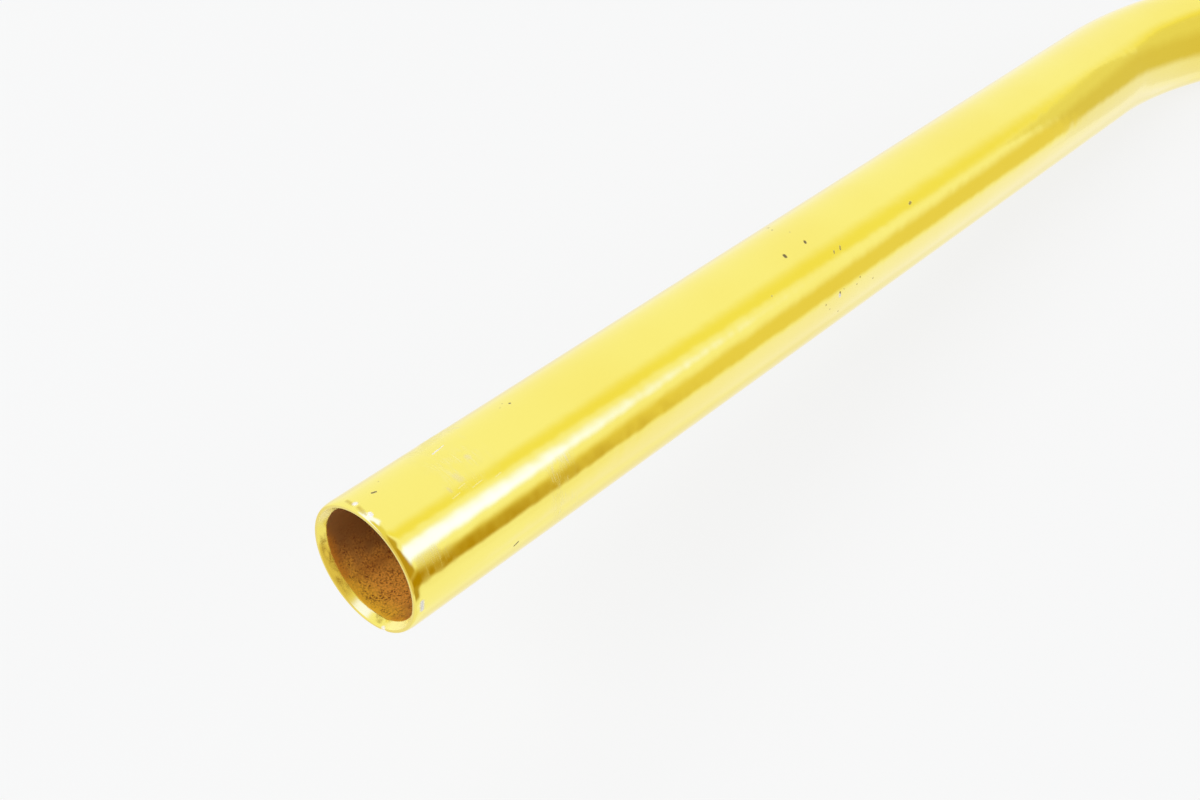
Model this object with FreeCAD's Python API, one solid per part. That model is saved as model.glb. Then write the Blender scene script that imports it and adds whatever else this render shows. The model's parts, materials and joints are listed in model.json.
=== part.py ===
import FreeCAD, Part
import math
import os

from FreeCAD import Placement, Rotation, Vector

# A riser handlebar: one bent aluminium tube, thick at the middle and thin at the grips.
# Millimetres and degrees. The origin is the middle of the clamp's axis. +X runs along the clamp towards
# the rider's right hand, +Z points up from the table that the bar lies on, and the bar rises towards +Y.

# Driving dimensions of the tube
grip_diameter = 22.2
grip_length = 222.0  # straight stretch from the open end to the outer bend
grip_wall = 1.5
centre_wall = 2.8
wall_change_length = 60.0  # inner end of the straight grip, over which the wall thickens

# Driving dimensions of the clamp in the middle
clamp_diameter = 25.4
clamp_length = 50.0  # stretch at the full diameter
clamp_taper_length = 24.0  # on each side, down to the grip's diameter

# Driving dimensions of the bends
rise = 45.0  # from the clamp's axis to the corner where the riser's and the grip's axes meet
riser_angle = 35.0  # between the riser and the clamp's axis
up_sweep = 4.0
back_sweep = 9.0
inner_bend_radius = 60.0
outer_bend_radius = 70.0

# Driving dimensions of the open ends, which are rounded outside and chamfered inside
lip_length = 1.65
lip_share = 0.25  # of the wall, taken off the skin's edge
chamfer_length = 1.3
chamfer_share = 0.5  # of the wall, taken off the bore's edge

# Numbers that the model is worked out with
steepest_tilt = 45.0  # the most that the bar can lean as it lies
halvings = 60  # in the search for that lean
quarter_round = 4 / 3 * math.tan(math.pi / 8)  # reach of the poles of a cubic that follows a quarter of an ellipse

# The model's own directions
middle = Vector(0, 0, 0)
across = Vector(1, 0, 0)
upwards = Vector(0, 0, 1)


def heading_at(turn, lift):
    """The unit vector at an angle from +X towards +Y, and then at an angle towards +Z."""
    level = math.cos(math.radians(lift))
    return Vector(
        math.cos(math.radians(turn)) * level,
        math.sin(math.radians(turn)) * level,
        math.sin(math.radians(lift)),
    )


def setback(heading, new_heading, bend_radius):
    """The length from a bend's corner back to where the bend starts."""
    return bend_radius * math.tan(heading.getAngle(new_heading) / 2)


def inside_of_bend(heading, new_heading):
    """The unit vector at right angles to the heading, towards the bend's centre."""
    return (new_heading - heading * heading.dot(new_heading)).normalize()


# Sizes and directions that follow from the driving dimensions
grip_radius = grip_diameter / 2
clamp_radius = clamp_diameter / 2
bore_radius = grip_radius - grip_wall
riser_heading = heading_at(riser_angle, 0)
grip_heading = heading_at(up_sweep, back_sweep)
inner_setback = setback(across, riser_heading, inner_bend_radius)
outer_setback = setback(riser_heading, grip_heading, outer_bend_radius)
riser_length = rise / riser_heading.y - inner_setback - outer_setback


class Rod:
    """A solid rod laid stretch by stretch along the bar's axis, from the middle to the right end."""

    def __init__(self):
        self.place = middle
        self.heading = across
        self.stretches = []

    def straight(self, length, radius):
        """A straight stretch of one radius."""
        self.stretches.append(Part.makeCylinder(radius, length, self.place, self.heading))
        self.place = self.place + self.heading * length

    def turned(self, length, poles):
        """A straight stretch turned to a cubic outline, whose poles are given as radius and length."""
        outline = Part.BezierCurve()
        outline.setPoles([Vector(radius, 0, run) for radius, run in poles])
        foot = Part.makeLine(middle, outline.StartPoint)
        head = Part.makeLine(outline.EndPoint, upwards * length)
        core = Part.makeLine(upwards * length, middle)
        stretch = Part.Face(Part.Wire([foot, outline.toShape(), head, core])).revolve(middle, upwards, 360)
        stretch.Placement = Placement(self.place, Rotation(upwards, self.heading))
        self.stretches.append(stretch)
        self.place = self.place + self.heading * length

    def taper(self, length, start_radius, end_radius):
        """A straight stretch whose radius changes along an S that is level at both ends."""
        self.turned(length, [
            (start_radius, 0),
            (start_radius, length / 2),
            (end_radius, length / 2),
            (end_radius, length),
        ])

    def lip(self, length, start_radius, end_radius):
        """A last stretch that rounds over by a quarter of an ellipse until it is square to the axis."""
        self.turned(length, [
            (start_radius, 0),
            (start_radius, quarter_round * length),
            (end_radius + quarter_round * (start_radius - end_radius), length),
            (end_radius, length),
        ])

    def chamfer(self, length, start_radius, end_radius):
        """A last stretch that widens as a cone."""
        self.stretches.append(Part.makeCone(start_radius, end_radius, length, self.place, self.heading))
        self.place = self.place + self.heading * length

    def bend(self, new_heading, bend_radius, radius):
        """A bend of one radius of tube: a disc turned about the bend's centre."""
        inside = inside_of_bend(self.heading, new_heading)
        disc = Part.Face(Part.Wire(Part.makeCircle(radius, self.place, self.heading)))
        angle = math.degrees(self.heading.getAngle(new_heading))
        centre = self.place + inside * bend_radius
        self.stretches.append(disc.revolve(centre, self.heading.cross(inside), angle))
        to_corner = setback(self.heading, new_heading, bend_radius)
        self.place = self.place + (self.heading + new_heading) * to_corner
        self.heading = new_heading

    def both_halves(self):
        """The rod's stretches and their mirror images, as one solid."""
        right = self.stretches[0].multiFuse(self.stretches[1:])
        return right.fuse(right.mirror(middle, across)).removeSplitter()


def lay_rod(clamp, bends, grips, end_length):
    """A rod with its own radius in the clamp, in the bends and risers and along the grips, up to its ends."""
    rod = Rod()
    rod.straight(clamp_length / 2, clamp)
    rod.taper(clamp_taper_length, clamp, bends)
    rod.bend(riser_heading, inner_bend_radius, bends)
    rod.straight(riser_length, bends)
    rod.bend(grip_heading, outer_bend_radius, bends)
    plain_length = grip_length - end_length
    if bends != grips:
        rod.taper(wall_change_length, bends, grips)
        plain_length -= wall_change_length
    rod.straight(plain_length, grips)
    return rod


def outer_bend_depth(tilt):
    """How far the outer bend's axis dips below the clamp's axis, with the bar tilted about X."""
    up = Vector(0, -math.sin(math.radians(tilt)), math.cos(math.radians(tilt)))
    inside = inside_of_bend(riser_heading, grip_heading)
    start = riser_heading * (inner_setback + riser_length)
    swing = math.hypot(riser_heading.dot(up), inside.dot(up))
    return -start.dot(up) - outer_bend_radius * (inside.dot(up) - swing)


def lying_tilt():
    """The tilt about X at which the clamp and both outer bends touch the table, found by halving."""
    low = 0
    high = steepest_tilt
    for halving in range(halvings):
        tilt = (low + high) / 2
        if outer_bend_depth(tilt) < clamp_radius - grip_radius:
            low = tilt
        else:
            high = tilt
    return tilt


def make_handlebar():
    """The bar as one solid, lying on the table."""
    skin = lay_rod(clamp_radius, grip_radius, grip_radius, lip_length)
    skin.lip(lip_length, grip_radius, grip_radius - lip_share * grip_wall)
    bore = lay_rod(clamp_radius - centre_wall, grip_radius - centre_wall, bore_radius, chamfer_length)
    bore.chamfer(chamfer_length, bore_radius, bore_radius + chamfer_share * grip_wall)
    bar = skin.both_halves().cut(bore.both_halves()).removeSplitter()
    bar.rotate(middle, across, -lying_tilt())
    return bar.Solids[0]


os.makedirs("parts", exist_ok=True)
make_handlebar().exportStep("parts/handlebar.step")
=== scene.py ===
"""A gold anodised riser handlebar, one bent aluminium tube that lies on a pale table.

Lengths are in metres and angles in degrees. Only the marks on the tube, the windows and steps of its
finishes and those of the card are in millimetres. The origin is the middle of the clamp's axis, +X runs
along the clamp towards the rider's right hand, and +Z points up from the table.
"""

import json
import logging
import math
from dataclasses import dataclass, field
from enum import Enum
from functools import reduce
from typing import Any, Optional, Union

import bpy
import numpy as np
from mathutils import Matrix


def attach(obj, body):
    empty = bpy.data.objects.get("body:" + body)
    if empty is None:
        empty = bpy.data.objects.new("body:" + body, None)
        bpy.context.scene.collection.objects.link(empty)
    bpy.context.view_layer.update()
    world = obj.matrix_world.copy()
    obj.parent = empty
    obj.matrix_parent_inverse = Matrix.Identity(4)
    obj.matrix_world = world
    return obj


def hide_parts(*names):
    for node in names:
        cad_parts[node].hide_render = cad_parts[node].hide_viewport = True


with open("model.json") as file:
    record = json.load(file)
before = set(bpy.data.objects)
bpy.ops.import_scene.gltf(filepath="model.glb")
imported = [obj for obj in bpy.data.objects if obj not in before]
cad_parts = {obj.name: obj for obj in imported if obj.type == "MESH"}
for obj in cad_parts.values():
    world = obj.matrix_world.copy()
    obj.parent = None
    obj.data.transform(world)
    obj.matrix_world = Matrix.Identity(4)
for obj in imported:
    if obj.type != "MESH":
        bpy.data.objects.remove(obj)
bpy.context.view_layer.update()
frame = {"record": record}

Array = np.ndarray
Vector = tuple[float, float, float]
Colour = tuple[float, float, float]
Step = tuple[float, float]
Window = tuple[float, float, float, float]
BODY = "root"
NODE = "handlebar"
BAKE_MAP = "OFBake"
MILLIMETRE = 0.001
DEGREE = 180 / math.pi
LOG = logging.getLogger("handlebar")


class Attribute(Enum):
    """The names of what each point of the tube's mesh carries for its finish."""

    UNBENT = "unbent"
    LIP = "lip"


def unit(vector: Array) -> Array:
    """The vectors along the last axis, each divided by its length."""
    return vector / np.linalg.norm(vector, axis=-1, keepdims=True)


def heading_at(turn: float, lift: float) -> Array:
    """The unit vector at an angle from +X towards +Y, and then at an angle towards +Z."""
    across = math.cos(math.radians(lift))
    return np.array([
        math.cos(math.radians(turn)) * across,
        math.sin(math.radians(turn)) * across,
        math.sin(math.radians(lift)),
    ])


def back_of(turn: float, lift: float) -> Array:
    """The unit vector towards a camera or lamp at an angle round from -Y and an angle above the table."""
    return -heading_at(turn + 90, -lift)


def aim(turn: float, lift: float) -> Vector:
    """The angles about X, Y and Z of a camera or lamp that stands there and looks back, in radians."""
    return math.radians(90 - lift), 0.0, math.radians(turn)


def tilted(vector: Array, tilt: float) -> Array:
    """Turns a vector about X.

    Args:
        vector: What is turned.
        tilt: The angle, from +Y towards +Z.

    Returns:
        The turned vector.
    """
    c = math.cos(math.radians(tilt))
    s = math.sin(math.radians(tilt))
    return np.array([vector[0], c * vector[1] - s * vector[2], s * vector[1] + c * vector[2]])


def turn_between(heading: Array, new_heading: Array) -> float:
    """The angle between two unit vectors, in radians."""
    return math.acos(float(np.clip(heading @ new_heading, -1, 1)))


def shoulder(run: Array, start: float, length: float, before: float, after: float) -> Array:
    """The radius along a stretch that changes from one radius to another by an S.

    The S is a cubic that is level at both ends. With q the share of the stretch that has passed, its
    parameter t solves q = 3/2 t (1 - t) + t^3, which is t = 1/2 + sinh(asinh(4 q - 2) / 3), and the
    radius is before + (after - before) (3 t^2 - 2 t^3).

    Args:
        run: Lengths along the axis.
        start: Where the change begins.
        length: How long it is.
        before: The radius ahead of it.
        after: The radius past it.

    Returns:
        The radius at each length.
    """
    share = np.clip((run - start) / length, 0, 1)
    t = 0.5 + np.sinh(np.arcsinh(4 * share - 2) / 3)
    return before + (after - before) * (3 * t**2 - 2 * t**3)


def mounts() -> dict[str, dict[str, Any]]:
    """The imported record's mounts by name."""
    return {mount["name"]: mount for mount in frame["record"]["mounts"]}


@dataclass(frozen=True)
class Leg:
    """One straight or round stretch of the bar's axis."""

    start: float
    length: float
    place: Array
    heading: Array
    inside: Array
    curvature: float

    def follow(self, run: Array) -> tuple[Array, Array]:
        """The places and headings at lengths along the axis.

        With d the length past the leg's start and a = d * curvature the angle turned, the place is
        start + d sin(a) / a * heading + d (1 - cos(a)) / a * inside, and the heading is
        cos(a) heading + sin(a) inside. A straight leg is the case of no curvature.

        Args:
            run: Lengths along the axis, from the middle of the bar.

        Returns:
            The places and the unit headings.
        """
        past = (run - self.start)[:, None]
        angle = past * self.curvature
        ahead = past * np.sinc(angle / np.pi)
        inwards = past * angle / 2 * np.sinc(angle / (2 * np.pi))**2
        places = self.place + ahead * self.heading + inwards * self.inside
        return places, np.cos(angle) * self.heading + np.sin(angle) * self.inside


@dataclass
class Axis:
    """The bar's axis as legs from the middle to the right end. The left half is its mirror image."""

    legs: list[Leg] = field(default_factory=list)

    @property
    def length(self) -> float:
        """The length of the right half."""
        last = self.legs[-1]
        return last.start + last.length

    def next_leg(self) -> tuple[float, Array, Array]:
        """Where the next leg starts: its length along the axis, its place and its heading."""
        if not self.legs:
            return 0.0, np.zeros(3), np.array([1.0, 0.0, 0.0])
        places, headings = self.legs[-1].follow(np.array([self.length]))
        return self.length, places[0], headings[0]

    def straight(self, length: float) -> None:
        """Adds a straight leg."""
        start, place, heading = self.next_leg()
        self.legs.append(Leg(start, length, place, heading, np.zeros(3), 0.0))

    def bend(self, new_heading: Array, radius: float) -> None:
        """Adds a round leg.

        Args:
            new_heading: The unit heading that it turns to.
            radius: The radius of the bend.
        """
        start, place, heading = self.next_leg()
        inside = unit(new_heading - (heading @ new_heading) * heading)
        length = turn_between(heading, new_heading) * radius
        self.legs.append(Leg(start, length, place, heading, inside, 1 / radius))

    def follow(self, along: Array) -> tuple[Array, Array]:
        """The places and headings of the whole axis, from the left end to the right.

        Args:
            along: Lengths from the middle of the bar, below zero on the left half.

        Returns:
            The places and the unit headings, which all point towards the right end.
        """
        run = np.abs(along)
        ends = np.array([leg.start + leg.length for leg in self.legs[:-1]])
        which = np.searchsorted(ends, run, side="right")
        places = np.empty((len(run), 3))
        headings = np.empty((len(run), 3))
        for number, leg in enumerate(self.legs):
            here = which == number
            places[here], headings[here] = leg.follow(run[here])
        left = along < 0
        places[left] *= (-1, 1, 1)
        headings[left] *= (1, -1, -1)
        return places, headings


class Signal:
    """One output of a node tree. Arithmetic on it adds Math nodes."""

    def __init__(self, recipe: "Recipe", socket: bpy.types.NodeSocket) -> None:
        """Keeps the recipe and the socket."""
        self.recipe = recipe
        self.socket = socket

    def __add__(self, other: "Number") -> "Signal":
        """The sum."""
        return self.recipe.math("ADD", self, other)

    def __sub__(self, other: "Number") -> "Signal":
        """The difference."""
        return self.recipe.math("SUBTRACT", self, other)

    def __rsub__(self, other: "Number") -> "Signal":
        """A number less this."""
        return self.recipe.math("SUBTRACT", other, self)

    def __mul__(self, other: "Number") -> "Signal":
        """The product."""
        return self.recipe.math("MULTIPLY", self, other)

    def __truediv__(self, other: "Number") -> "Signal":
        """The quotient."""
        return self.recipe.math("DIVIDE", self, other)

    def __rtruediv__(self, other: "Number") -> "Signal":
        """A number over this."""
        return self.recipe.math("DIVIDE", other, self)

    def __abs__(self) -> "Signal":
        """The value without its sign."""
        return self.recipe.math("ABSOLUTE", self)

    __radd__ = __add__
    __rmul__ = __mul__

    def most(self, other: "Number") -> "Signal":
        """The larger of the two."""
        return self.recipe.math("MAXIMUM", self, other)

    def between(self, low: float, high: float) -> "Signal":
        """The value itself, but never below low or above high."""
        return self.recipe.add("ShaderNodeClamp", None, {"Value": self, "Min": low, "Max": high})

    def rises(self, start: float, end: float) -> "Signal":
        """A smooth step.

        Args:
            start: Where it leaves 0.
            end: Where it reaches 1, which may be below the start.

        Returns:
            The step.
        """
        if start > end:
            return 1 - self.rises(end, start)
        sockets = {"Value": self, "From Min": start, "From Max": end}
        return self.recipe.add("ShaderNodeMapRange", {"interpolation_type": "SMOOTHSTEP"}, sockets)

    def within(self, window: Window) -> "Signal":
        """A smooth rise over the window's first two values, and a fall over its last two."""
        return self.rises(window[0], window[1]) * self.rises(window[3], window[2])

    def within_any(self, windows: tuple[Window, ...]) -> "Signal":
        """The same for several windows."""
        return reduce(Signal.most, [self.within(window) for window in windows])


Number = Union[float, Signal]
Paint = Union[Colour, Signal]


@dataclass
class Recipe:
    """A material's or the world's nodes, written as expressions."""

    nodes: bpy.types.NodeTree

    @classmethod
    def of(cls, owner: Union[bpy.types.Material, bpy.types.World]) -> "Recipe":
        """Starts an empty recipe.

        Args:
            owner: A material or the world.

        Returns:
            The recipe of its nodes.
        """
        owner.use_nodes = True
        owner.node_tree.nodes.clear()
        return cls(owner.node_tree)

    def add(
        self,
        kind: str,
        settings: Optional[dict[str, Any]] = None,
        sockets: Optional[dict[Union[str, int], Any]] = None,
        output: Union[str, int] = 0,
    ) -> Optional[Signal]:
        """Adds any node.

        Args:
            kind: Blender's name for the node's type.
            settings: The node's own settings, which are set first.
            sockets: A value or a signal for each input.
            output: Which output to return.

        Returns:
            That output, or nothing from a node that has none.
        """
        node = self.nodes.nodes.new(kind)
        for name, value in (settings or {}).items():
            setattr(node, name, value)
        for name, value in (sockets or {}).items():
            if isinstance(value, Signal):
                self.nodes.links.new(value.socket, node.inputs[name])
            elif node.inputs[name].type == "RGBA":
                node.inputs[name].default_value = (*value, 1)
            else:
                node.inputs[name].default_value = value
        return Signal(self, node.outputs[output]) if node.outputs else None

    def math(self, operation: str, *values: Number) -> Signal:
        """Adds a Math node on these values."""
        return self.add("ShaderNodeMath", {"operation": operation}, dict(enumerate(values)))

    def mix(self, share: Number, first: Paint, second: Paint, label: str = "") -> Signal:
        """A colour between two, by share."""
        settings = {"data_type": "RGBA", "label": label}
        return self.add("ShaderNodeMix", settings, {0: share, 6: first, 7: second}, 2)

    def vector(self, operation: str, *values: Any, output: Union[str, int] = 0) -> Signal:
        """Adds a Vector Math node on these values."""
        return self.add("ShaderNodeVectorMath", {"operation": operation}, dict(enumerate(values)), output)

    def attribute(self, name: Attribute, output: str) -> Signal:
        """What the mesh carries for each point."""
        return self.add("ShaderNodeAttribute", {"attribute_name": name.value}, None, output)

    def part(self, vector: Signal, name: str) -> Signal:
        """The X, Y or Z of a vector."""
        return self.add("ShaderNodeSeparateXYZ", None, {0: vector}, name)

    def along(self, vector: Signal, direction: Array) -> Signal:
        """How much of a vector points along a direction."""
        return self.vector("DOT_PRODUCT", vector, direction, output="Value")

    def noise(self, vector: Signal, size: float, detail: float = 2, output: str = "Fac") -> Signal:
        """Cloudy noise of about 0.5 on average, with clouds of about this size."""
        sockets = {"Vector": vector, "Scale": 1 / size, "Detail": detail}
        return self.add("ShaderNodeTexNoise", None, sockets, output)

    def sway(self, vector: Signal, size: float, detail: float = 2) -> Signal:
        """The same noise, but of about 0 on average."""
        return self.noise(vector, size, detail) - 0.5

    def dots(self, vector: Signal, size: float) -> Signal:
        """The distance from the nearest of many scattered points, in shares of their spacing."""
        return self.add("ShaderNodeTexVoronoi", None, {"Vector": vector, "Scale": 1 / size}, "Distance")

    def stroke_distance(self, vector: Signal, first: Array, last: Array) -> Signal:
        """How far a vector is from the straight line between two points.

        With p the vector from the first point and l the line, the share h = p.l / l.l is kept from 0 to 1,
        and the distance is |p - h l|.

        Args:
            vector: The point that the distance is measured from.
            first: One end of the line.
            last: The other end, which may be the same.

        Returns:
            The distance.
        """
        line = last - first
        square = float(line @ line)
        if square == 0:
            return self.vector("DISTANCE", vector, first, output="Value")
        past = self.vector("SUBTRACT", vector, first)
        clamped = {"operation": "MULTIPLY", "use_clamp": True}
        share = self.add("ShaderNodeMath", clamped, {0: self.along(past, line), 1: 1 / square})
        nearest = self.add("ShaderNodeVectorMath", {"operation": "SCALE"}, {0: line, "Scale": share})
        return self.vector("DISTANCE", past, nearest, output="Value")


def new_object(name: str, data: bpy.types.ID) -> bpy.types.Object:
    """A new object that is already in the scene."""
    thing = bpy.data.objects.new(name, data)
    bpy.context.scene.collection.objects.link(thing)
    return thing


def new_material(name: str) -> tuple[bpy.types.Material, Recipe]:
    """A new material and its empty recipe."""
    material = bpy.data.materials.new(name)
    return material, Recipe.of(material)


@dataclass(frozen=True)
class Coat:
    """A finish's own colour, roughness, share of bare metal and share of clear layer."""

    colour: Paint
    roughness: float
    metal: float
    varnish: float


@dataclass(frozen=True)
class TubeCoordinates:
    """Where a point lies on the straightened tube.

    The place is in metres: the length from the left end, up and side. The ragged place is the same, pushed
    about so that marks have uneven outlines. The length along is in millimetres, and so is the depth, which
    follows the wall's profile from the end face into the bore. The angle round is in degrees from straight
    up.
    """

    recipe: Recipe
    place: Signal
    ragged: Signal
    along: Signal
    round: Signal
    depth: Signal

    @classmethod
    def read(cls, recipe: Recipe, rag: float, rag_size: float) -> "TubeCoordinates":
        """Reads the mesh's own attributes.

        Args:
            recipe: The material's nodes.
            rag: How far the outlines of marks are pushed about.
            rag_size: The size of the noise that does it.

        Returns:
            The coordinates.
        """
        place = recipe.attribute(Attribute.UNBENT, "Vector")
        stir = recipe.noise(place, rag_size, output="Color")
        push = recipe.vector("MULTIPLY_ADD", stir, (2 * rag,) * 3, (-rag,) * 3)
        return cls(
            recipe,
            place=place,
            ragged=recipe.vector("ADD", place, push),
            along=recipe.part(place, "X") / MILLIMETRE,
            round=recipe.math("ARCTAN2", recipe.part(place, "Z"), recipe.part(place, "Y")) * DEGREE,
            depth=recipe.attribute(Attribute.LIP, "Fac") / MILLIMETRE,
        )

    def lines(self, points: Signal, pitch: float, reach: float, detail: float) -> Signal:
        """Noise squeezed along the tube and drawn out round it, so that its lines run round."""
        squeeze = (1 / pitch, 1 / reach, 1 / reach)
        return self.recipe.noise(self.recipe.vector("MULTIPLY", points, squeeze), 1, detail)


@dataclass
class Surface:
    """What the shader is told of each point, as finishes are laid over each other."""

    tube: TubeCoordinates
    colour: Signal
    roughness: Number
    metal: Number
    varnish: Number
    height: Signal

    def lay(self, share: Signal, coat: Coat) -> None:
        """Lays a coat over part of the surface.

        Args:
            share: How much of each point the coat covers, from 0 to 1.
            coat: The coat.
        """
        self.colour = self.tube.recipe.mix(share, self.colour, coat.colour)
        self.roughness = self.roughness + (coat.roughness - self.roughness) * share
        self.metal = self.metal + (coat.metal - self.metal) * share
        self.varnish = self.varnish + (coat.varnish - self.varnish) * share

    def roughen(self, share: Signal, by: float) -> None:
        """Makes the surface rougher where a mask says."""
        self.roughness = self.roughness + share * by

    def raise_by(self, height: Signal) -> None:
        """Adds a height in metres."""
        self.height = self.height + height


@dataclass(frozen=True)
class Cloud:
    """Noise of some size, made into a mask that rises between two of its values."""

    size: float
    edge: Step
    detail: float = 1

    def mask(self, points: Signal) -> Signal:
        """The mask at these points."""
        return points.recipe.noise(points, self.size, self.detail).rises(*self.edge)


@dataclass(frozen=True)
class Mark:
    """A small flaw on the straightened tube, in millimetres and degrees.

    It is a stroke of some length that leans from the tube's axis, and without a length it is a dot.
    """

    along: float
    round: float
    size: float
    length: float = 0.0
    lean: float = 0.0
    radius: float = 11.1

    def point(self, share: float) -> Array:
        """A point of the stroke.

        Args:
            share: From -1/2 at one end to 1/2 at the other.

        Returns:
            The point, in metres.
        """
        step = share * self.length
        along = self.along + step * math.cos(math.radians(self.lean))
        angle = math.radians(self.round) + step * math.sin(math.radians(self.lean)) / self.radius
        place = np.array([along, self.radius * math.cos(angle), self.radius * math.sin(angle)])
        return place * MILLIMETRE

    def mask(self, tube: TubeCoordinates, softness: float) -> Signal:
        """Where the mark is.

        Args:
            tube: The tube's coordinates.
            softness: How wide the ragged edge is, in shares of the mark's size.

        Returns:
            1 on the mark and 0 away from it.
        """
        away = tube.recipe.stroke_distance(tube.ragged, self.point(-0.5), self.point(0.5))
        size = self.size * MILLIMETRE
        return away.rises((1 + softness) * size, (1 - softness) * size)


@dataclass(frozen=True)
class Marks:
    """A group of marks of one kind."""

    coat: Coat
    strength: float
    height: float
    softness: float
    places: tuple[Mark, ...]

    def lay(self, surface: Surface) -> None:
        """Lays the marks, sunk or raised by their height.

        Args:
            surface: What they are laid on.
        """
        mask = reduce(Signal.most, [mark.mask(surface.tube, self.softness) for mark in self.places])
        surface.lay(mask * self.strength, self.coat)
        if self.height:
            surface.raise_by(mask * self.height)


@dataclass(frozen=True)
class GoldAnodising:
    """The dyed clear layer over a polished tube."""

    colour: Colour = (0.945, 0.84, 0.185)
    deep_colour: Colour = (0.935, 0.81, 0.16)
    roughness: float = 0.1
    varnish: float = 0.15
    varnish_roughness: float = 0.1
    varnish_index: float = 1.5
    fine_pitch: float = 0.25 * MILLIMETRE
    broad_pitch: float = 1.3 * MILLIMETRE
    line_reach: float = 7.0 * MILLIMETRE
    line_height: float = 0.5e-6
    line_roughness: float = 0.04
    ripple_size: float = 4 * MILLIMETRE
    ripple_height: float = 60e-6
    clouds: Cloud = Cloud(30 * MILLIMETRE, (0.35, 0.7), detail=2)

    def begin(self, tube: TubeCoordinates) -> Surface:
        """Starts with nothing but the polished and anodised metal.

        Args:
            tube: The tube's coordinates.

        Returns:
            The surface that the other finishes are laid on.
        """
        fine = tube.lines(tube.place, self.fine_pitch, self.line_reach, detail=2)
        broad = tube.lines(tube.place, self.broad_pitch, self.line_reach, detail=2)
        ripple = tube.recipe.noise(tube.place, self.ripple_size, detail=1)
        return Surface(
            tube,
            colour=tube.recipe.mix(self.clouds.mask(tube.place), self.colour, self.deep_colour),
            roughness=self.roughness + (fine + broad - 1) * self.line_roughness,
            metal=1.0,
            varnish=self.varnish,
            height=(fine + broad) * self.line_height + ripple * self.ripple_height,
        )


@dataclass(frozen=True)
class Tint:
    """A colour of the bore that comes in over steps of its depth and of the angle from straight up."""

    colour: Colour
    depth: Step
    angle: Step

    def mask(self, depth: Signal, angle: Signal) -> Signal:
        """Where the tint is."""
        return depth.rises(*self.depth) * angle.rises(*self.angle)


@dataclass(frozen=True)
class ShadedStainedBore:
    """The unpolished inside: golden just past the lip, then stained brown, with dark specks low down.

    Painted shade and light lie over the stain: it is darker at the top, the dark reaches further down the
    deeper it goes, and it is brighter low down and near the mouth.
    """

    gold_reach: Step = (1.6, 1.8)
    edge_size: float = 0.8 * MILLIMETRE
    edge_sway: float = 0.35
    blotch_size: float = 2.2 * MILLIMETRE
    blotch_sway: float = 50.0
    # Painted shade: deeper in the bore, the top's dark colour reaches further down.
    darkening_depth: Step = (4.0, 12.0)
    darkening: float = 2.5
    # Painted shade at the top of the bore; the stain low down is brightened with painted light.
    painted_shade_colour: Colour = (0.335, 0.142, 0.034)
    lit_stain_colour: Colour = (0.91, 0.40, 0.055)
    lit_stain_angle: Step = (100.0, 165.0)
    # Painted light near the mouth: amber on the sides and a glow low down.
    amber: Tint = Tint((0.70, 0.26, 0.02), depth=(3.8, 1.7), angle=(85.0, 115.0))
    glow: Tint = Tint((0.93, 0.53, 0.035), depth=(6.5, 1.8), angle=(125.0, 165.0))
    specks: Tint = Tint((0.20, 0.055, 0.008), depth=(1.6, 3.0), angle=(80.0, 125.0))
    speck_size: float = 0.42 * MILLIMETRE
    speck_edge: Step = (0.55, 0.2)
    speck_share: float = 0.5
    grain: Cloud = Cloud(0.3 * MILLIMETRE, (0.42, 0.6), detail=3)
    grain_share: float = 0.58
    streaks: Cloud = Cloud(1.1 * MILLIMETRE, (0.36, 0.62), detail=4)
    streak_share: float = 0.65
    roughness: float = 0.6
    metal: float = 0.05

    def mottle(self, tube: TubeCoordinates) -> Signal:
        """Fine grain and round specks, most of it in streaks.

        Args:
            tube: The tube's coordinates.

        Returns:
            How dark each point is.
        """
        specks = tube.recipe.dots(tube.ragged, self.speck_size).rises(*self.speck_edge)
        dots = self.grain_share * self.grain.mask(tube.place) + self.speck_share * specks
        return dots * (1 - self.streak_share + self.streak_share * self.streaks.mask(tube.place))

    def lay(self, surface: Surface) -> None:
        """Covers the bore, with an uneven edge inside the lip.

        Args:
            surface: What it is laid on.
        """
        tube = surface.tube
        recipe = tube.recipe
        depth = tube.depth
        edge = depth + recipe.sway(tube.place, self.edge_size) * self.edge_sway
        blotch = recipe.sway(tube.place, self.blotch_size, detail=3) * self.blotch_sway
        # Painted shade: the deeper a point, the more of the top's dark colour it takes.
        sunk = depth.between(*self.darkening_depth) - self.darkening_depth[0]
        angle = abs(tube.round) + blotch - sunk * self.darkening
        # Painted shade at the top and painted light low down, over the brown stain.
        colour = recipe.mix(angle.rises(*self.lit_stain_angle), self.painted_shade_colour, self.lit_stain_colour)
        # Painted light near the mouth.
        for tint in (self.amber, self.glow):
            colour = recipe.mix(tint.mask(depth, angle), colour, tint.colour)
        dark = self.mottle(tube) * self.specks.mask(depth, angle)
        colour = recipe.mix(dark, colour, self.specks.colour)
        surface.lay(edge.rises(*self.gold_reach), Coat(colour, self.roughness, self.metal, 0.0))


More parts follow.
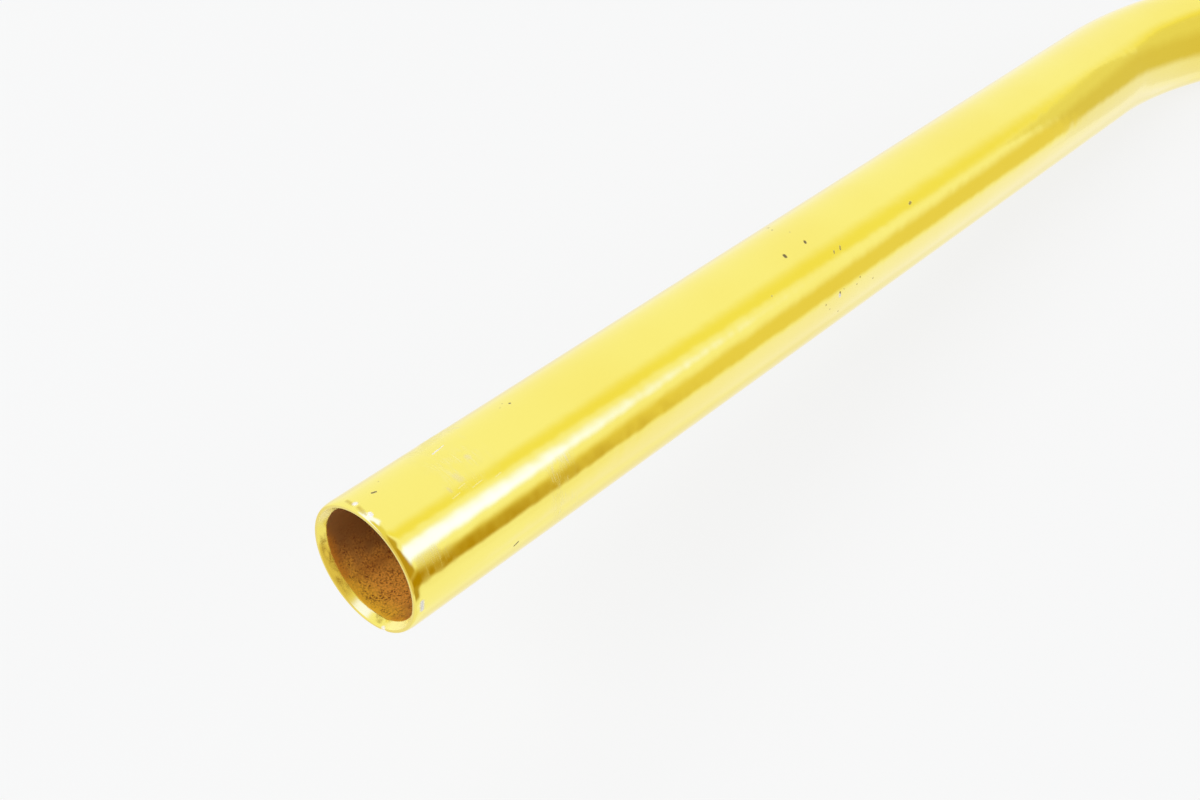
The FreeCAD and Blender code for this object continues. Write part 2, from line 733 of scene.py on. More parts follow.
@dataclass(frozen=True)
class Scuff:
    """A patch of fine scratches that run round the tube, within windows along and round it."""

    along: Window
    round: Window
    pitch: float
    share: float
    coat: Coat = Coat((0.95, 0.88, 0.42), 0.4, 0.8, 0.3)
    drawn_out: float = 12.0
    line_edge: Step = (0.48, 0.7)
    patch_size: float = 2.5 * MILLIMETRE
    patch_edge: Step = (0.36, 0.58)
    dull_edge: Step = (0.35, 0.6)
    dullness: float = 0.14

    def lay(self, surface: Surface) -> None:
        """Lays the scratches where squeezed noise stands high, in patches that are also duller.

        Args:
            surface: What they are laid on.
        """
        tube = surface.tube
        window = tube.along.within(self.along) * tube.round.within(self.round)
        pitch = self.pitch * MILLIMETRE
        lines = tube.lines(tube.ragged, pitch, self.drawn_out * pitch, detail=1)
        patch = tube.recipe.noise(tube.place, self.patch_size, detail=1)
        scratched = lines.rises(*self.line_edge) * patch.rises(*self.patch_edge) * window
        surface.lay(scratched * self.share, self.coat)
        surface.roughen(patch.rises(*self.dull_edge) * window, self.dullness)


@dataclass(frozen=True)
class WornRim:
    """The chamfer inside each open end, frosted in places, with grime in the near one."""

    chamfer_reach: Window = (0.15, 0.3, 1.7, 1.9)
    chamfer_roughness: float = 0.06
    frosted: Coat = Coat((0.95, 0.86, 0.31), 0.28, 0.55, 0.1)
    frosted_rounds: tuple[Window, ...] = ((-88.0, -66.0, -20.0, 0.0), (100.0, 112.0, 146.0, 160.0))
    frosted_share: float = 0.85
    worn_slope: float = 0.3
    grime: Coat = Coat((0.38, 0.235, 0.016), 0.35, 0.9, 0.1)
    grime_reach: Window = (0.3, 0.8, 1.5, 1.75)
    grime_rounds: tuple[Window, ...] = ((-160.0, -150.0, -108.0, -84.0), (158.0, 163.0, 168.0, 172.0))
    grime_share: float = 0.9
    near_end: Window = (-1.0, -0.5, 15.0, 20.0)
    mid_radius: float = 9.9
    clump_width: float = 0.9
    clump_length: float = 2.4
    clumps: Cloud = Cloud(1.0, (0.32, 0.62))
    patches: Cloud = Cloud(1.8 * MILLIMETRE, (0.22, 0.52))
    grain: Cloud = Cloud(0.2 * MILLIMETRE, (0.3, 0.7))
    grain_share: float = 0.6

    def lay(self, surface: Surface) -> None:
        """Roughens the chamfer, and frosts and soils parts of it.

        Args:
            surface: What is worn.
        """
        tube = surface.tube
        chamfer = tube.depth.within(self.chamfer_reach)
        frosted = tube.round.within_any(self.frosted_rounds)
        slope = tube.depth.between(self.chamfer_reach[0], self.chamfer_reach[2])
        surface.roughen(chamfer, self.chamfer_roughness)
        surface.lay(chamfer * frosted * self.frosted_share, self.frosted)
        surface.raise_by(slope * frosted * (self.worn_slope * MILLIMETRE))
        surface.lay(self.soiled(tube) * self.grime_share, self.grime)

    def soiled(self, tube: TubeCoordinates) -> Signal:
        """Where grime lies: in grainy clumps on the rim laid flat, by its depth and the arc along it.

        Args:
            tube: The tube's coordinates.

        Returns:
            How thick it lies.
        """
        arc = tube.round * (self.mid_radius / DEGREE)
        flat = {"X": tube.depth / self.clump_width, "Y": arc / self.clump_length}
        clumps = self.clumps.mask(tube.recipe.add("ShaderNodeCombineXYZ", None, flat))
        grainy = 1 - self.grain_share + self.grain_share * self.grain.mask(tube.place)
        reach = tube.depth.within(self.grime_reach) * tube.round.within_any(self.grime_rounds)
        thick = clumps * grainy * self.patches.mask(tube.place)
        return thick * reach * tube.along.within(self.near_end)


PITS = Marks(
    Coat((0.085, 0.05, 0.022), 0.6, 0.1, 0.0),
    strength=0.9,
    height=-40e-6,
    softness=0.45,
    places=(
        Mark(97.3, 11.3, 0.34, 0.3, 100),
        Mark(103.5, 10.6, 0.25, 0.35, 123),
        Mark(4.6, -15.8, 0.17, 0.6, 25),
        Mark(20.8, 94.4, 0.13, 0.9, -20),
        Mark(33.2, -18.0, 0.2),
        Mark(105.1, 71.3, 0.2, 0.2, 90),
    ),
)

FAINT_PITS = Marks(
    Coat((0.23, 0.155, 0.035), 0.5, 0.3, 0.2),
    strength=0.78,
    height=-20e-6,
    softness=0.5,
    places=(
        Mark(109.2, 33.9, 0.17, 0.6, 126),
        Mark(107.3, 33.9, 0.14, 0.4, 123),
        Mark(131.8, 35.8, 0.24, 0.5, 165),
        Mark(103.9, -34.7, 0.17, 0.3, 90),
        Mark(102.9, -25.7, 0.15, 0.2, 90),
        Mark(103.7, -8.0, 0.11),
        Mark(88.4, 35.4, 0.13),
        Mark(100.7, 73.4, 0.16),
        Mark(101.9, 80.8, 0.13),
        Mark(104.9, 90.9, 0.15),
        Mark(106.4, 70.1, 0.1),
        Mark(110.4, 74.3, 0.14),
        Mark(111.5, 69.4, 0.15),
        Mark(115.6, 80.2, 0.16),
        Mark(32.6, -23.5, 0.1),
        Mark(31.4, -19.8, 0.1),
        Mark(7.0, -25.0, 0.09),
    ),
)

# Painted shade at the nicks in the rim: dark gold on both sides of the chips and along the lip's crease.
NOTCH_SHADE = Marks(
    Coat((0.60, 0.43, 0.05), 0.3, 0.95, 0.1),
    strength=0.66,
    height=-20e-6,
    softness=0.9,
    places=(
        Mark(0.95, -22.5, 0.26, 1.4, 98),
        Mark(0.74, -8.0, 0.3, 1.3, 101),
        Mark(0.62, -4.0, 0.18, 0.9, 101),
    ),
)

CHIPS = Marks(
    Coat((0.80, 0.78, 0.75), 0.45, 0.0, 0.0),
    strength=0.92,
    height=-6e-6,
    softness=0.75,
    places=(
        Mark(1.16, -16.9, 0.33, 0.2, 70),
        Mark(1.1, 0.8, 0.25, 0.3, 100),
        Mark(1.25, 88.5, 0.33, 1.6, 90),
        Mark(0.1, 155.0, 0.3, 0.3, 90, radius=10.5),
        Mark(105.0, 73.6, 0.28, 0.2, 90),
        Mark(17.0, -16.8, 0.13, 1.2, -10),
        Mark(18.2, -17.6, 0.08, 1.6, -10),
    ),
)

SCRATCHES = Marks(
    Coat((0.97, 0.92, 0.58), 0.35, 0.6, 0.2),
    strength=0.5,
    height=0.0,
    softness=0.7,
    places=(
        Mark(17.6, 27.8, 0.08, 2.0, -4),
        Mark(13.5, 26.5, 0.07, 1.6, -5),
        Mark(15.2, 22.5, 0.06, 1.4, -4),
        Mark(21.5, 31.0, 0.06, 1.2, -4),
    ),
)

BORE_SHADE = Marks(
    Coat((0.30, 0.085, 0.012), 0.6, 0.05, 0.0),
    strength=0.35,
    height=0.0,
    softness=0.9,
    places=(
        Mark(7.5, -148.0, 0.9, 6.0, 0, radius=9.6),
        Mark(3.6, -149.0, 0.5, 0.6, 0, radius=9.6),
    ),
)

SMUDGES = Marks(
    Coat((0.76, 0.64, 0.42), 0.35, 0.6, 0.6),
    strength=0.32,
    height=0.0,
    softness=0.8,
    places=(
        Mark(15.7, 15.8, 0.5, 0.8, 70),
        Mark(19.5, 5.3, 0.35, 0.4, 80),
        Mark(13.2, 20.2, 0.25, 0.6, 80),
        Mark(22.8, -38.0, 0.13, 1.6, 65),
        Mark(23.8, -32.0, 0.12, 1.4, 65),
        Mark(20.2, -39.0, 0.12, 1.2, 65),
    ),
)

SCUFFS = (
    Scuff((11.0, 14.0, 20.0, 25.0), (-50.0, -40.0, 24.0, 34.0), pitch=0.2, share=0.18),
    Scuff((14.0, 17.0, 24.0, 28.0), (-75.0, -60.0, -34.0, -26.0), pitch=0.3, share=0.35),
    Scuff((28.0, 29.5, 33.5, 36.0), (42.0, 52.0, 100.0, 112.0), pitch=0.2, share=0.4),
    Scuff((1.5, 2.5, 6.5, 10.0), (44.0, 50.0, 66.0, 74.0), pitch=0.3, share=0.18),
)


Finish = Union[WornRim, Scuff, Marks, ShadedStainedBore]
# Wear and dirt, and the notch marks, which are painted shade.
WEAR_AND_NOTCH_SHADE: tuple[Finish, ...] = (SMUDGES, SCRATCHES, NOTCH_SHADE, FAINT_PITS, PITS, CHIPS)


@dataclass(frozen=True)
class Dent:
    """A nick knocked out of the end's edge, in the shape of a shallow bowl round a mark."""

    mark: Mark
    depth: float

    def press(self, unbent: Array) -> Array:
        """Pushes points of the straightened tube inwards.

        The push is depth (1 - d / size)^2 at a distance d from the mark, towards the wall's middle.

        Args:
            unbent: The points, as rows by columns by length, up and side.

        Returns:
            The pushed points.
        """
        centre = self.mark.point(0)
        away = np.linalg.norm(unbent - centre, axis=-1, keepdims=True)
        push = self.depth * np.clip(1 - away / (self.mark.size * MILLIMETRE), 0, 1)**2
        inwards = unit(np.array([self.mark.radius * MILLIMETRE / 2, -centre[1], -centre[2]]))
        return unbent + push * inwards


@dataclass(frozen=True)
class Patch:
    """A stretch of the wall's profile that is unrolled into its own rectangle of the texture."""

    first: int
    last: int
    corner: tuple[float, float]
    size: tuple[float, float]
    turned: bool = False

    def spread(self, run: Array, columns: int) -> Array:
        """The texture places of the corners of the stretch's faces.

        Args:
            run: The length along the profile at each ring, with the closing ring repeated at the end.
            columns: How many faces stand round the tube.

        Returns:
            The places, as rings by columns by four corners by two.
        """
        share = (run[self.first:self.last + 1] - run[self.first]) / (run[self.last] - run[self.first])
        turn = np.linspace(0, 1, columns + 1)
        rings = np.stack([share[:-1], share[:-1], share[1:], share[1:]], axis=-1)[:, None]
        turns = np.stack([turn[:-1], turn[1:], turn[1:], turn[:-1]], axis=-1)[None]
        rings, turns = np.broadcast_arrays(rings, turns)
        pair = [turns, rings] if self.turned else [rings, turns]
        return np.array(self.corner) + np.stack(pair, axis=-1) * np.array(self.size)


@dataclass(frozen=True)
class TextureSheet:
    """How the wall is unrolled onto the texture: rows of skin, the two mouths, and the bore beyond them."""

    margin: float = 0.002
    skin_height: float = 0.268
    skin_step: float = 0.272
    mouth_row: float = 0.822
    mouth_size: tuple[float, float] = (0.24, 0.1)
    mouth_step: float = 0.248
    bore_rows: tuple[float, float] = (0.928, 0.964)
    bore_height: float = 0.03
    mouth_depth: float = 0.025

    def patches(self, half_lip: Array) -> tuple[Patch, ...]:
        """The whole profile's stretches, in the order of its rings.

        Args:
            half_lip: The half profile's lengths from the end face.

        Returns:
            The stretches.
        """
        middle = len(half_lip) - 1
        total = 2 * middle
        face = int(np.argmin(np.abs(half_lip)))
        third = int(np.argmin(np.abs(half_lip - half_lip[0] * 2 / 3)))
        mouth = int(np.argmin(np.abs(half_lip - self.mouth_depth)))
        left = self.margin
        rows = [self.margin + self.skin_step * number for number in range(3)]
        skin = (1 - 2 * self.margin, self.skin_height)
        half_skin = (0.5 - self.margin, self.skin_height)
        bore = (1 - 2 * self.margin, self.bore_height)
        right_mouth = (left, self.mouth_row)
        left_mouth = (left + self.mouth_step, self.mouth_row)
        return (
            Patch(0, third, (0.5, rows[1]), half_skin),
            Patch(third, face, (left, rows[0]), skin),
            Patch(face, mouth, right_mouth, self.mouth_size, turned=True),
            Patch(mouth, middle, (left, self.bore_rows[0]), bore),
            Patch(middle, total - mouth, (left, self.bore_rows[1]), bore),
            Patch(total - mouth, total - face, left_mouth, self.mouth_size, turned=True),
            Patch(total - face, total - third, (left, rows[2]), skin),
            Patch(total - third, total, (left, rows[1]), half_skin),
        )

    def places(self, half_lip: Array, columns: int) -> Array:
        """Where each face's corners lie on the texture.

        Args:
            half_lip: The half profile's lengths from the end face.
            columns: How many faces stand round the tube.

        Returns:
            The places, as rings by columns by four corners by two.
        """
        run = np.concatenate([half_lip, 2 * half_lip[-1] - half_lip[-2::-1]])
        return np.concatenate([patch.spread(run, columns) for patch in self.patches(half_lip)])


@dataclass
class Handlebar:
    """The whole bar: a tube that is thick in the clamp, thin in the grips and open at both ends."""

    riser_angle: float = 35.0
    up_sweep: float = 4.0
    back_sweep: float = 9.0
    rise: float = 0.045
    inner_bend_radius: float = 0.060
    outer_bend_radius: float = 0.070
    clamp_taper_length: float = 0.024
    centre_wall: float = 0.0028
    wall_change_length: float = 0.060
    lip_length: float = 0.00165
    lip_share: float = 0.25
    chamfer_length: float = 0.0013
    chamfer_share: float = 0.5
    points_round: int = 224
    skin_points: tuple[int, ...] = (4, 16, 30, 4, 40, 30)
    bore_points: tuple[int, ...] = (3, 8, 16, 3, 18, 24)
    crowding: float = 2.5
    lip_points: int = 14
    face_points: int = 5
    chamfer_points: int = 10
    mark_rag: float = 0.07 * MILLIMETRE
    mark_rag_size: float = 0.4 * MILLIMETRE
    sheet: TextureSheet = TextureSheet()
    gold: GoldAnodising = GoldAnodising()
    # Among these layers, the bore's colours, BORE_SHADE and the notch marks hold painted shade and light.
    finishes: tuple[Finish, ...] = (WornRim(), *SCUFFS, *WEAR_AND_NOTCH_SHADE, ShadedStainedBore(), BORE_SHADE)
    dents: tuple[Dent, ...] = (
        Dent(Mark(0.7, -16.3, 0.9), depth=0.22 * MILLIMETRE),
        Dent(Mark(0.9, 88.5, 1.1), depth=0.2 * MILLIMETRE),
        Dent(Mark(0.2, 155.0, 1.0, radius=10.6), depth=0.2 * MILLIMETRE),
    )

    def __post_init__(self) -> None:
        """Takes the clamp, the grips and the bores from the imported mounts, and lays the axis."""
        clamp = mounts()["stem_clamp"]["dims"]
        grip = mounts()["grip_right"]
        self.clamp_radius = clamp["r_mm"] * MILLIMETRE
        self.clamp_length = clamp["length_mm"] * MILLIMETRE
        self.grip_radius = grip["dims"]["r_mm"] * MILLIMETRE
        self.grip_length = grip["dims"]["length_mm"] * MILLIMETRE + self.lip_length
        self.end_bore_radius = mounts()["end_bore_right"]["dims"]["r_mm"] * MILLIMETRE
        self.axis = self.lay_axis(np.array(grip["axis"]))

    def lay_axis(self, grip_heading: Array) -> Axis:
        """Lays the axis from the clamp to the right end.

        The bar is drawn with its riser in the XY plane and then leans about X, by the angle that brings
        the drawn grip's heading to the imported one.

        Args:
            grip_heading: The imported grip's unit heading.

        Returns:
            The axis.
        """
        drawn = heading_at(self.up_sweep, self.back_sweep)
        lean = math.degrees(math.atan2(grip_heading[2], grip_heading[1]) - math.atan2(drawn[2], drawn[1]))
        riser_heading = tilted(heading_at(self.riser_angle, 0), lean)
        inner_corner = self.inner_bend_radius * math.tan(math.radians(self.riser_angle) / 2)
        outer_corner = self.outer_bend_radius * math.tan(turn_between(riser_heading, grip_heading) / 2)
        axis = Axis()
        axis.straight(self.clamp_length / 2)
        axis.straight(self.clamp_taper_length)
        axis.bend(riser_heading, self.inner_bend_radius)
        axis.straight(self.rise / math.sin(math.radians(self.riser_angle)) - inner_corner - outer_corner)
        axis.bend(grip_heading, self.outer_bend_radius)
        axis.straight(self.grip_length)
        return axis

    def skin_radius(self, run: Array) -> Array:
        """The outer radius at lengths from the middle."""
        start = self.clamp_length / 2
        return shoulder(run, start, self.clamp_taper_length, self.clamp_radius, self.grip_radius)

    def bore_radius(self, run: Array) -> Array:
        """The bore's radius: it follows the clamp's taper, and widens in the grip.

        Args:
            run: Lengths from the middle.

        Returns:
            The radius at each.
        """
        narrow = self.grip_radius - self.centre_wall
        wide = self.clamp_radius - self.centre_wall
        grip_start = self.axis.length - self.grip_length
        middle = shoulder(run, self.clamp_length / 2, self.clamp_taper_length, wide, narrow)
        return middle + shoulder(run, grip_start, self.wall_change_length, 0, self.end_bore_radius - narrow)

    def stations(self, counts: tuple[int, ...], last: float) -> Array:
        """Lengths from the middle to the right end at which rings of points stand.

        Each leg has a count of its own. On the last leg the rings crowd towards the open end, at
        1 - (1 - t)^crowding of the way for even steps of t.

        Args:
            counts: How many rings stand on each leg.
            last: Where the last ring stands.

        Returns:
            The lengths.
        """
        steps = [np.linspace(0, 1, count, endpoint=False) for count in counts]
        steps[-1] = 1 - (1 - np.linspace(0, 1, counts[-1]))**self.crowding
        return np.concatenate([
            leg.start + step * (min(leg.start + leg.length, last) - leg.start)
            for leg, step in zip(self.axis.legs, steps)
        ])

    def lip_profile(self) -> tuple[Array, Array]:
        """The right end's profile from the skin to the bore, without its first and last points.

        A quarter of an ellipse outside, a flat face and a straight chamfer inside.

        Returns:
            Lengths from the middle and radii.
        """
        wall = self.grip_radius - self.end_bore_radius
        outer = self.lip_share * wall
        inner = self.chamfer_share * wall
        sweep = np.linspace(0, np.pi / 2, self.lip_points)[1:]
        face = np.linspace(self.grip_radius - outer, self.end_bore_radius + inner, self.face_points)[1:-1]
        slope = np.linspace(0, 1, self.chamfer_points)[:-1]
        back = np.concatenate([
            self.lip_length * (1 - np.sin(sweep)),
            np.zeros(len(face)),
            self.chamfer_length * slope,
        ])
        radius = np.concatenate([
            self.grip_radius - outer + outer * np.cos(sweep),
            face,
            self.end_bore_radius + inner * (1 - slope),
        ])
        return self.axis.length - back, radius

    def half_profile(self) -> tuple[Array, Array, Array]:
        """The right half of the wall's profile, from the skin's middle round the lip to the bore's.

        Returns:
            Lengths from the middle, radii, and the length along the profile from the end face, which is
            below zero on the skin.
        """
        skin = self.stations(self.skin_points, self.axis.length - self.lip_length)
        bore = self.stations(self.bore_points, self.axis.length - self.chamfer_length)[::-1]
        lip_along, lip_radius = self.lip_profile()
        along = np.concatenate([skin, lip_along, bore])
        radius = np.concatenate([self.skin_radius(skin), lip_radius, self.bore_radius(bore)])
        run = np.append(0, np.cumsum(np.hypot(np.diff(along), np.diff(radius))))
        face = len(skin) + self.lip_points - 1 + (self.face_points - 2) // 2
        return along, radius, run - run[face]

    def build(self) -> bpy.types.Object:
        """Carries the profile round the axis.

        A point at length l, radius r and angle a stands at axis(l) + r cos(a) up(l) + r sin(a) side(l),
        where up is the upright direction square to the axis, and side is heading x up. Dents are pressed
        in before the tube is bent.

        Returns:
            The bar.
        """
        half_along, half_radius, half_lip = self.half_profile()
        along = np.concatenate([half_along, -half_along[-2:0:-1]])
        radius = np.concatenate([half_radius, half_radius[-2:0:-1]])
        lip = np.concatenate([half_lip, half_lip[-2:0:-1]])
        angle = np.linspace(-np.pi, np.pi, self.points_round, endpoint=False)
        across = radius[:, None, None] * np.stack([np.cos(angle), np.sin(angle)], axis=-1)
        from_end = np.broadcast_to((along + self.axis.length)[:, None, None], (*across.shape[:2], 1))
        unbent = np.concatenate([from_end, across], axis=-1)
        pressed = unbent
        for dent in self.dents:
            pressed = dent.press(pressed)
        points = self.bend_tube(along, pressed)
        mesh = closed_grid(NODE + "_tube", points)
        add_attribute(mesh, Attribute.UNBENT, "FLOAT_VECTOR", "vector", unbent)
        add_attribute(mesh, Attribute.LIP, "FLOAT", "value", np.repeat(lip, self.points_round))
        layer = mesh.uv_layers.new(name=BAKE_MAP)
        places = self.sheet.places(half_lip, self.points_round)
        layer.uv.foreach_set("vector", places.astype(np.float32).ravel())
        piece = new_object("anodised_tube", mesh)
        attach(piece, BODY)
        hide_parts(NODE)
        return piece

    def bend_tube(self, along: Array, unbent: Array) -> Array:
        """Carries points of the straightened tube onto the bent axis.

        Args:
            along: Each ring's length from the middle.
            unbent: The points, as rings by columns by length from the left end, up and side.

        Returns:
            The points in the bar's frame.
        """
        places, headings = self.axis.follow(along)
        up = unit(np.array([0, 0, 1]) - headings[:, 2:] * headings)
        side = np.cross(headings, up)
        ahead = unbent[..., 0] - (along + self.axis.length)[:, None]
        return (
            places[:, None]
            + ahead[..., None] * headings[:, None]
            + unbent[..., 1, None] * up[:, None]
            + unbent[..., 2, None] * side[:, None]
        )

    def dress(self, piece: bpy.types.Object) -> None:
        """Lays the finishes over each other and gives them to the bar.

        Args:
            piece: The bar.
        """
        material, recipe = new_material("gold_anodised_tube")
        surface = self.gold.begin(TubeCoordinates.read(recipe, self.mark_rag, self.mark_rag_size))
        for finish in self.finishes:
            finish.lay(surface)
        bumps = {"Strength": 1.0, "Distance": 1.0, "Height": surface.height}
        shader = recipe.add("ShaderNodeBsdfPrincipled", None, {
            "Base Color": surface.colour,
            "Roughness": surface.roughness,
            "Metallic": surface.metal,
            "Coat Weight": surface.varnish,
            "Coat Roughness": self.gold.varnish_roughness,
            "Coat IOR": self.gold.varnish_index,
            "Normal": recipe.add("ShaderNodeBump", None, bumps),
        })
        recipe.add("ShaderNodeOutputMaterial", None, {"Surface": shader})
        piece.data.materials.append(material)


def closed_grid(name: str, points: Array) -> bpy.types.Mesh:
    """A smooth mesh from a grid of points that closes on itself both ways.

    Args:
        name: The mesh's name.
        points: The grid, as rows by columns by XYZ.

    Returns:
        The mesh, with one quad for each point of the grid.
    """
    rows, columns = points.shape[:2]
    number = np.arange(rows * columns).reshape(rows, columns)
    across = np.roll(number, -1, axis=1)
    quads = np.stack([number, across, np.roll(across, -1, axis=0), np.roll(number, -1, axis=0)], axis=-1)
    mesh = bpy.data.meshes.new(name)
    mesh.from_pydata(points.reshape(-1, 3), [], quads.reshape(-1, 4))
    mesh.polygons.foreach_set("use_smooth", np.ones(rows * columns, bool))
    return mesh


def add_attribute(mesh: bpy.types.Mesh, name: Attribute, kind: str, part: str, values: Array) -> None:
    """Gives each of a mesh's points a value of its own."""
    layer = mesh.attributes.new(name.value, kind, "POINT")
    layer.data.foreach_set(part, values.astype(np.float32).ravel())


def stage_sheet(name: str, corners: Array, material: bpy.types.Material) -> bpy.types.Object:
    """A flat sheet that isn't part of the bar.

    Args:
        name: Its name.
        corners: Its four corners, in order.
        material: Its finish.

    Returns:
        The sheet.
    """
    mesh = bpy.data.meshes.new(name)
    mesh.from_pydata(corners, [], [(0, 1, 2, 3)])
    mesh.materials.append(material)
    sheet = new_object(name, mesh)
    return sheet


@dataclass(frozen=True)
class SoftBox:
    """A large lamp, placed round the near end of the bar as the camera sees it."""

    name: str
    turn: float
    lift: float
    distance: float
    width: float
    height: float
    glow: float

    def hang(self, target: Array, camera_turn: float) -> None:
        """Hangs the lamp so that it faces the target.

        Args:
            target: The point that it faces.
            camera_turn: The camera's turn, which the lamp's own is counted from.
        """
        data = bpy.data.lights.new(self.name, "AREA")
        data.shape = "RECTANGLE"
        data.size = self.width
        data.size_y = self.height
        data.energy = self.glow * math.pi * self.width * self.height
        lamp = new_object(self.name, data)
        lamp.rotation_euler = aim(camera_turn + self.turn, self.lift)
        lamp.location = target + self.distance * back_of(camera_turn + self.turn, self.lift)
        lamp.visible_glossy = False


@dataclass(frozen=True)
class Zone:
    """A part of the surroundings that the tube mirrors, by angles round from the camera and up."""

    name: str
    colour: Colour
    turn: Optional[Window]
    lift: Window

    def mask(self, turn: Signal, lift: Signal) -> Signal:
        """Where the zone is. One with no turn goes all round.

        Args:
            turn: The angle round of each direction.
            lift: The angle up of each direction.

        Returns:
            1 in the zone, 0 outside it and smooth between.
        """
        band = lift.within(self.lift)
        if self.turn is None:
            return band
        return turn.within(self.turn) * band


@dataclass(frozen=True)
class Card:
    """A small upright card beyond the picture's right edge, which only the bend mirrors."""

    middle: Vector = (-0.1185, 0.0087, 0.005)
    turn: float = 88.0
    half_width: float = 24 * MILLIMETRE
    low: float = -32 * MILLIMETRE
    high: float = 46 * MILLIMETRE
    foot_colour: Colour = (0.95, 0.93, 1.25)
    dusky_colour: Colour = (0.75, 0.64, 0.28)
    pale_colour: Colour = (0.85, 0.78, 0.44)
    foot_reach: Step = (-8.0, 3.0)
    pale_reach: Step = (14.0, 30.0)
    left_edge: Step = (-23.0, -13.0)
    right_edge: Step = (12.0, 7.0)
    slant: float = 0.3
    upright: Window = (-31.0, -23.0, 35.0, 46.0)

    def stand(self, camera_turn: float) -> None:
        """Stands the card across the line of sight of the bend's mirror, hidden from everything else.

        Args:
            camera_turn: The camera's turn, which the card's own is counted from.
        """
        side = heading_at(camera_turn + self.turn, 0)
        reach = self.half_width * np.array([-1, 1, 1, -1])
        corners = np.array(self.middle) + reach[:, None] * side
        corners[:, 2] = (self.low, self.low, self.high, self.high)
        card = stage_sheet("card", corners, self.finish(side))
        card.visible_camera = False
        card.visible_diffuse = False
        card.visible_shadow = False

    def finish(self, side: Array) -> bpy.types.Material:
        """Glows from a bright foot through dusky to pale, and fades out at the edges.

        Args:
            side: The unit vector along the card's foot.

        Returns:
            The material.
        """
        material, recipe = new_material("dusky_card")
        place = recipe.add("ShaderNodeTexCoord", None, None, "Object")
        level = recipe.part(place, "Z") / MILLIMETRE
        past = recipe.along(recipe.vector("SUBTRACT", place, self.middle), side) / MILLIMETRE
        colour = recipe.mix(level.rises(*self.foot_reach), self.foot_colour, self.dusky_colour)
        colour = recipe.mix(level.rises(*self.pale_reach), colour, self.pale_colour)
        across = past.rises(*self.left_edge) * (past - level * self.slant).rises(*self.right_edge)
        shader = recipe.add("ShaderNodeBsdfPrincipled", None, {
            "Base Color": (0.0, 0.0, 0.0),
            "Roughness": 1.0,
            "Specular IOR Level": 0.0,
            "Emission Color": colour,
            "Emission Strength": 1.0,
            "Alpha": across * level.within(self.upright),
        })
        recipe.add("ShaderNodeOutputMaterial", None, {"Surface": shader})
        return material


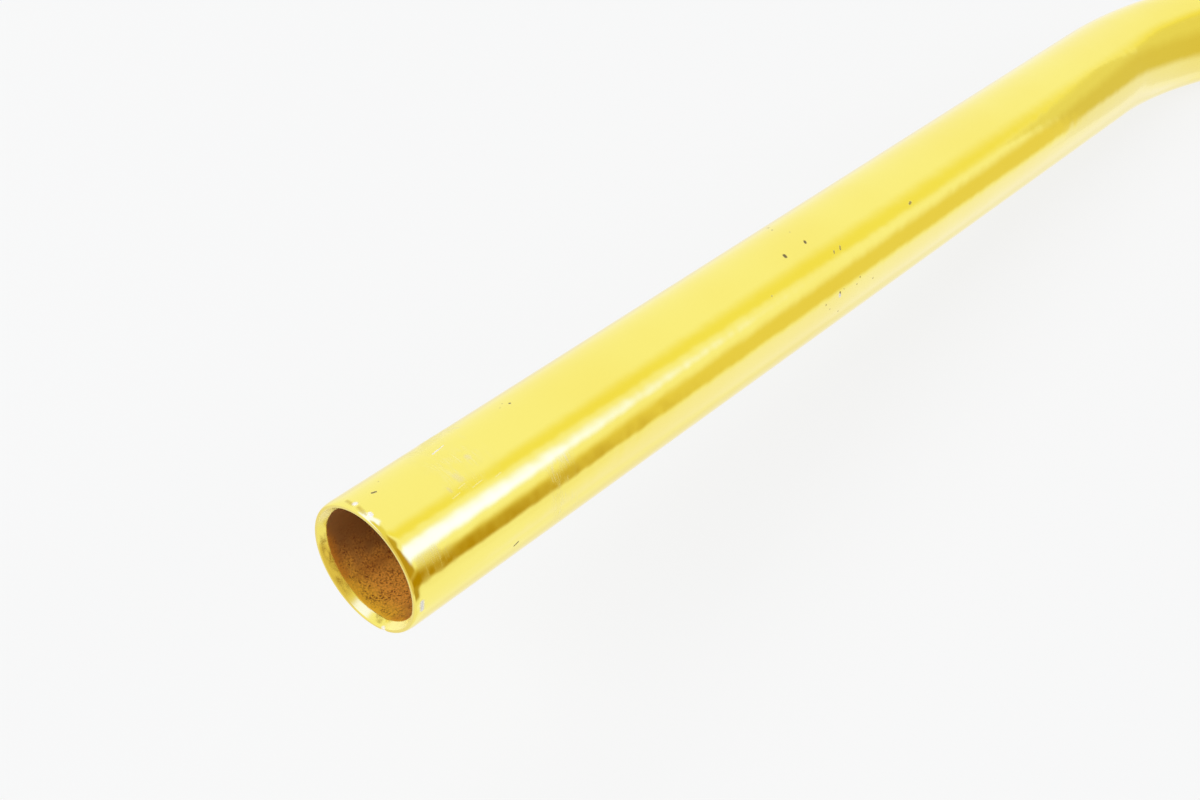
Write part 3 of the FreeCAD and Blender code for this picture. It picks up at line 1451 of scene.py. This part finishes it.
@dataclass
class Studio:
    """The table, the lamps, the surroundings that the tube mirrors, and the camera."""

    eye: Vector = (-0.461627, -0.050833, 0.231626)
    camera_turn: float = -52.217
    camera_lift: float = 48.328
    lens: float = 49.425
    sensor: float = 36.0
    table_reach: float = 4.0
    table_colour: Colour = (0.84, 0.84, 0.845)
    table_glow: Colour = (0.935, 0.938, 0.94)
    table_shade: float = 0.12
    room_light: Colour = (0.55, 0.55, 0.55)
    backdrop: Colour = (1.02, 1.02, 1.06)
    zones: tuple[Zone, ...] = (
        Zone("far_table", (0.95, 0.92, 0.90), None, (-92, -91, -30, -16)),
        Zone("right_table", (1.01, 1.01, 1.10), (55, 70, 100, 120), (-92, -91, -30, -20)),
        Zone("right_glow", (1.01, 1.01, 1.50), (81, 88, 112, 134), (-54, -44, -24, -16)),
        Zone("left_table", (0.90, 0.84, 0.93), (-150, -115, -35, 0), (-92, -91, -32, -16)),
        Zone("camera_side", (0.77, 0.62, 0.37), (-75, -50, 60, 80), (-24, -15, 62, 74)),
        Zone("ceiling", (0.84, 0.765, 0.38), None, (62, 74, 91, 92)),
        Zone("dusky_side", (0.86, 0.74, 0.31), (55, 70, 112, 126), (-20, -12.5, 0, 13)),
        Zone("dark_corner", (0.46, 0.27, 0.0), (35, 52, 75, 89), (-20, -12.5, -3, 10)),
        Zone("dark_floor", (0.50, 0.34, 0.07), (30, 42, 60, 70), (-36, -27, -14, -8)),
        Zone("dark_wall", (0.52, 0.33, 0.04), (22, 38, 70, 78), (1, 10, 58, 68)),
        Zone("dark_above", (0.56, 0.40, 0.08), (22, 38, 88, 102), (48, 56, 68, 80)),
        Zone("amber_wall", (0.955, 0.885, 0.36), (103, 110, 114, 136), (10, 22, 60, 75)),
        Zone("right_softbox", (1.09, 1.30, 5.0), (68, 80, 89, 103), (14.5, 24, 35, 45)),
        Zone("left_softbox", (1.08, 1.22, 4.4), (-182, -181, -66, -30), (44, 53, 64, 74)),
        Zone("back_softbox", (1.08, 1.22, 4.4), (154, 163, 181, 182), (52, 60, 68, 76)),
    )
    lamps: tuple[SoftBox, ...] = (
        SoftBox("right_softbox", turn=86, lift=29, distance=0.8, width=0.4, height=0.22, glow=4.0),
        SoftBox("left_softbox", turn=-132, lift=54, distance=0.9, width=0.4, height=0.3, glow=3.0),
        SoftBox("front_softbox", turn=-50, lift=42, distance=2.0, width=1.0, height=1.0, glow=8.0),
    )
    card: Card = Card()

    def build(self) -> None:
        """Sets the table, the surroundings, the lamps, the card and the camera."""
        self.set_table(-mounts()["stem_clamp"]["dims"]["r_mm"] * MILLIMETRE)
        self.set_surroundings()
        near_end = np.array(mounts()["grip_left"]["pos_m"])
        for lamp in self.lamps:
            lamp.hang(near_end, self.camera_turn)
        self.card.stand(self.camera_turn)
        self.set_camera()

    def set_table(self, level: float) -> None:
        """Lays the table, a flat square that shows the camera a softened shadow.

        The tube mirrors the surroundings below the horizon instead of the table.

        Args:
            level: The height of the table.
        """
        material, recipe = new_material("pale_table")
        seen = recipe.add("ShaderNodeLightPath", None, None, "Is Camera Ray")
        lit = recipe.add("ShaderNodeBsdfDiffuse", None, {"Color": self.table_colour})
        glow = recipe.add("ShaderNodeEmission", None, {"Color": self.table_glow})
        share = seen * (1 - self.table_shade)
        shader = recipe.add("ShaderNodeMixShader", None, {0: share, 1: lit, 2: glow})
        recipe.add("ShaderNodeOutputMaterial", None, {"Surface": shader})
        corners = np.array([(-1, -1, 0), (1, -1, 0), (1, 1, 0), (-1, 1, 0)]) * self.table_reach
        table = stage_sheet("table", corners + np.array([0, 0, level]), material)
        table.visible_glossy = False

    def set_surroundings(self) -> None:
        """Lights the world evenly and as pale as the table, with zones of light that only mirrors see."""
        world = bpy.data.worlds.new("studio")
        bpy.context.scene.world = world
        recipe = Recipe.of(world)
        towards = recipe.add("ShaderNodeTexCoord", None, None, "Generated")
        mirrored = recipe.add("ShaderNodeLightPath", None, None, "Is Glossy Ray")
        seen = recipe.add("ShaderNodeLightPath", None, None, "Is Camera Ray")
        nearer = recipe.along(towards, back_of(self.camera_turn, 0))
        rightward = recipe.along(towards, back_of(self.camera_turn + 90, 0))
        height = recipe.part(towards, "Z")
        turn = recipe.math("ARCTAN2", rightward, nearer) * DEGREE
        lift = recipe.math("ARCSINE", height) * DEGREE
        colour: Paint = self.backdrop
        for zone in self.zones:
            colour = recipe.mix(zone.mask(turn, lift), colour, zone.colour, zone.name)
        plain = recipe.mix(seen, self.room_light, self.table_glow)
        even = recipe.add("ShaderNodeBackground", None, {"Color": plain})
        zoned = recipe.add("ShaderNodeBackground", None, {"Color": colour})
        shader = recipe.add("ShaderNodeMixShader", None, {0: mirrored, 1: even, 2: zoned})
        recipe.add("ShaderNodeOutputWorld", None, {"Surface": shader})

    def set_camera(self) -> None:
        """Sets the camera and the view's colours."""
        data = bpy.data.cameras.new("camera")
        data.lens = self.lens
        data.sensor_width = self.sensor
        camera = new_object("camera", data)
        camera.location = self.eye
        camera.rotation_euler = aim(self.camera_turn, self.camera_lift)
        bpy.context.scene.camera = camera
        bpy.context.scene.view_settings.view_transform = "Standard"


def main() -> None:
    """Builds the bar and the studio, and reports each piece."""
    logging.basicConfig(level=logging.INFO, format="%(name)s: %(message)s")
    bar = Handlebar()
    tube = bar.build()
    bar.dress(tube)
    length = 2 * bar.axis.length / MILLIMETRE
    LOG.info("%s has %d faces along %.1f mm of axis", tube.name, len(tube.data.polygons), length)
    Studio().build()


if __name__ == "__main__":
    main()
